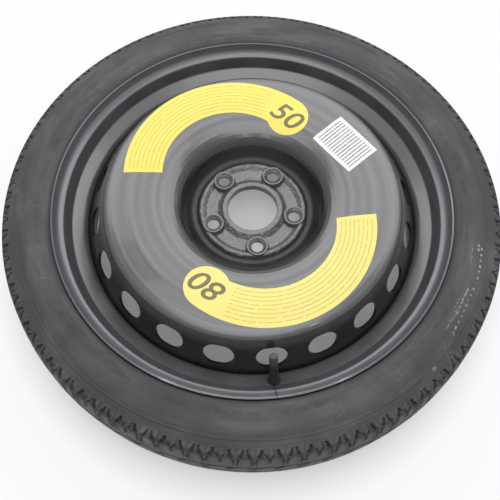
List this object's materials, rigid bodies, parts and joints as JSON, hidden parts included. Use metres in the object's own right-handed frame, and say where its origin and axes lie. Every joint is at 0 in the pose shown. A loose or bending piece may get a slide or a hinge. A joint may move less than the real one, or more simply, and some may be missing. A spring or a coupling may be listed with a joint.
{
  "type": "space saver spare wheel",
  "caption": "Narrow temporary spare wheel: black pressed-steel disc and rim with oval vent holes, yellow speed labels, slim tyre and snap-in valve.",
  "frame": {"origin": "on the wheel's axis in the plane of the mounting face that bears on the hub", "axes": "+Z along the wheel's axis, out of the face that shows when it is fitted; X and Y in the wheel's plane"},
  "size_m": [0.6308, 0.6308, 0.1361],
  "materials": {
    "tread_rubber": "worn matt dark grey rubber",
    "rim_paint": "satin black paint over steel",
    "disc_paint": "satin black paint over steel",
    "weld_paint": "black paint over weld beads",
    "yellow_film": "printed yellow film",
    "white_film": "printed white label",
    "valve_black": "black rubber",
    "brass": "turned brass",
    "pin_brass": "turned brass",
    "sealing_ring": "white sealing ring",
    "spring_steel": "spring wire",
    "cap_plastic": "moulded black plastic"
  },
  "bodies": {
    "wheel": {"tyre": "tread_rubber", "rim": "rim_paint", "disc": "disc_paint", "disc_weld": "weld_paint", "speed_label_upper": "yellow_film", "speed_label_lower": "yellow_film", "parts_label": "white_film", "valve_rubber": "valve_black", "valve_stem": "brass", "valve_core_barrel": "brass", "valve_core_gasket": "sealing_ring", "valve_spring": "spring_steel"},
    "valve_cap": {"valve_cap": "cap_plastic"},
    "valve_pin": {"valve_pin": "pin_brass", "valve_pin_seal": "valve_black"}
  },
  "joints": [
    {"name": "cap_lift", "type": "slide", "parent": "wheel", "child": "valve_cap", "axis": [-0.0643, 0.4573, 0.887], "range_m": [0, 0.02]},
    {"name": "pin_press", "type": "slide", "parent": "wheel", "child": "valve_pin", "axis": [0.0643, -0.4573, -0.887], "range_m": [0, 0.0012], "stiffness_N_per_m": 800, "deforming": ["valve_spring"]}
  ]
}
